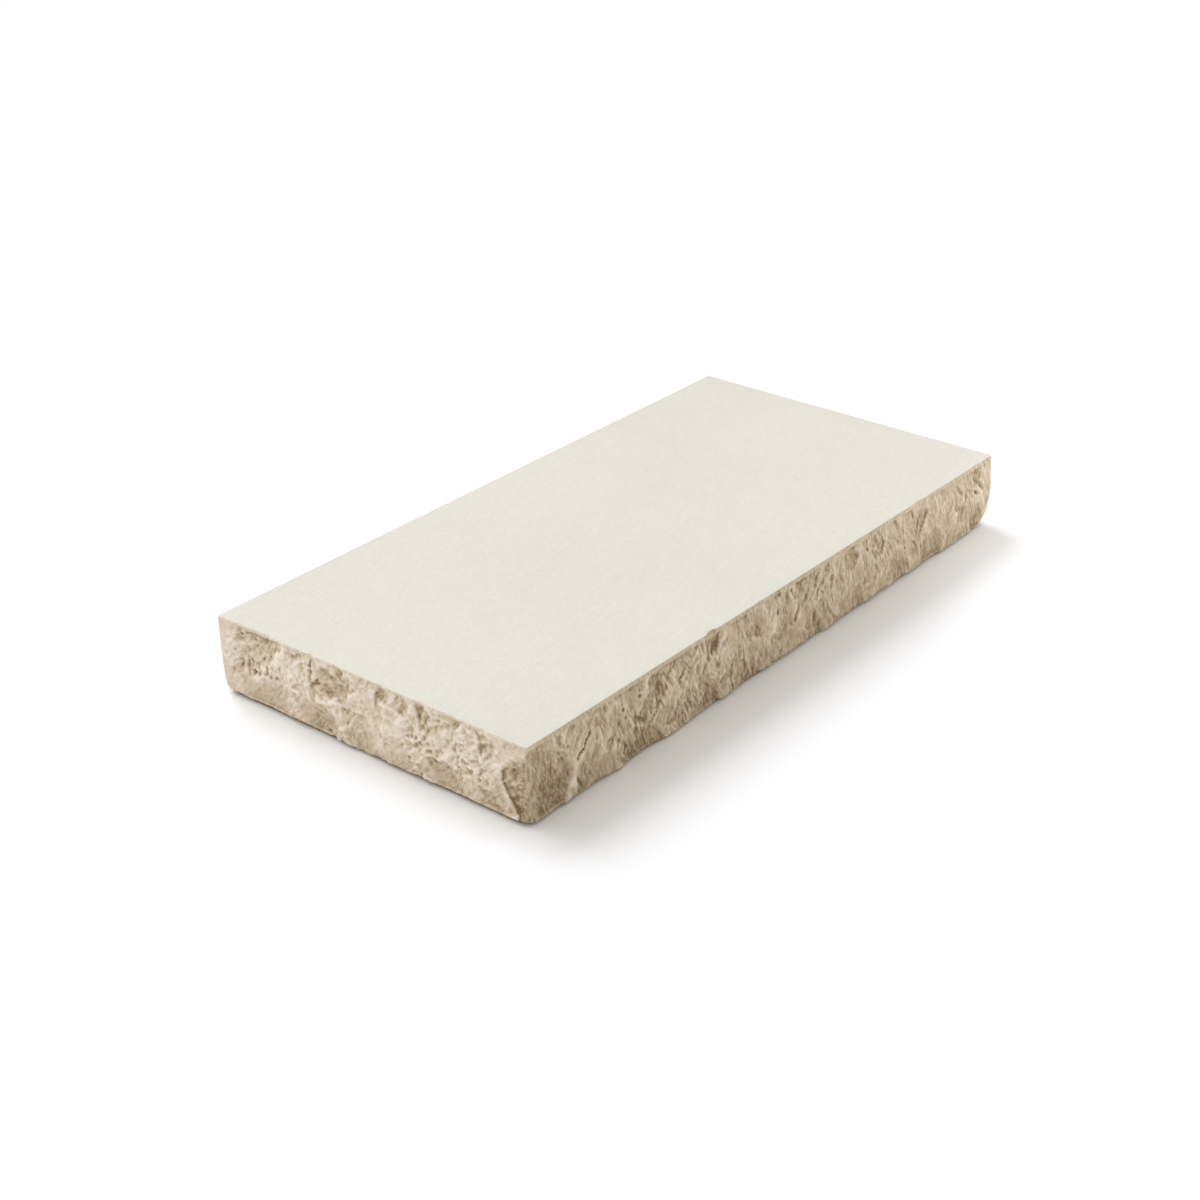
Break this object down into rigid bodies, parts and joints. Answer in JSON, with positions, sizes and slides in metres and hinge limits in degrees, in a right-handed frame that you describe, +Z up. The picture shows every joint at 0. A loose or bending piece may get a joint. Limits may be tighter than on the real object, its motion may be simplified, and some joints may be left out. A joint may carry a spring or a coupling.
{
  "type": "wall coping stone",
  "caption": "Flat rectangular coping slab that caps a masonry wall: smooth rubbed top, rock-faced edges all round with a slightly eased foot, and a flat sawn bed.",
  "frame": {"origin": "middle of the bed, the flat underside that the stone rests on", "axes": "+X along the stone's length, +Y across the wall, +Z up through the smooth top"},
  "size_m": [0.6, 0.3, 0.063],
  "materials": {
    "stone": "pale cream limestone: top rubbed smooth and matt, edges split to a rough beige rock face"
  },
  "bodies": {
    "root": {"coping_stone": "stone"}
  },
  "joints": []
}
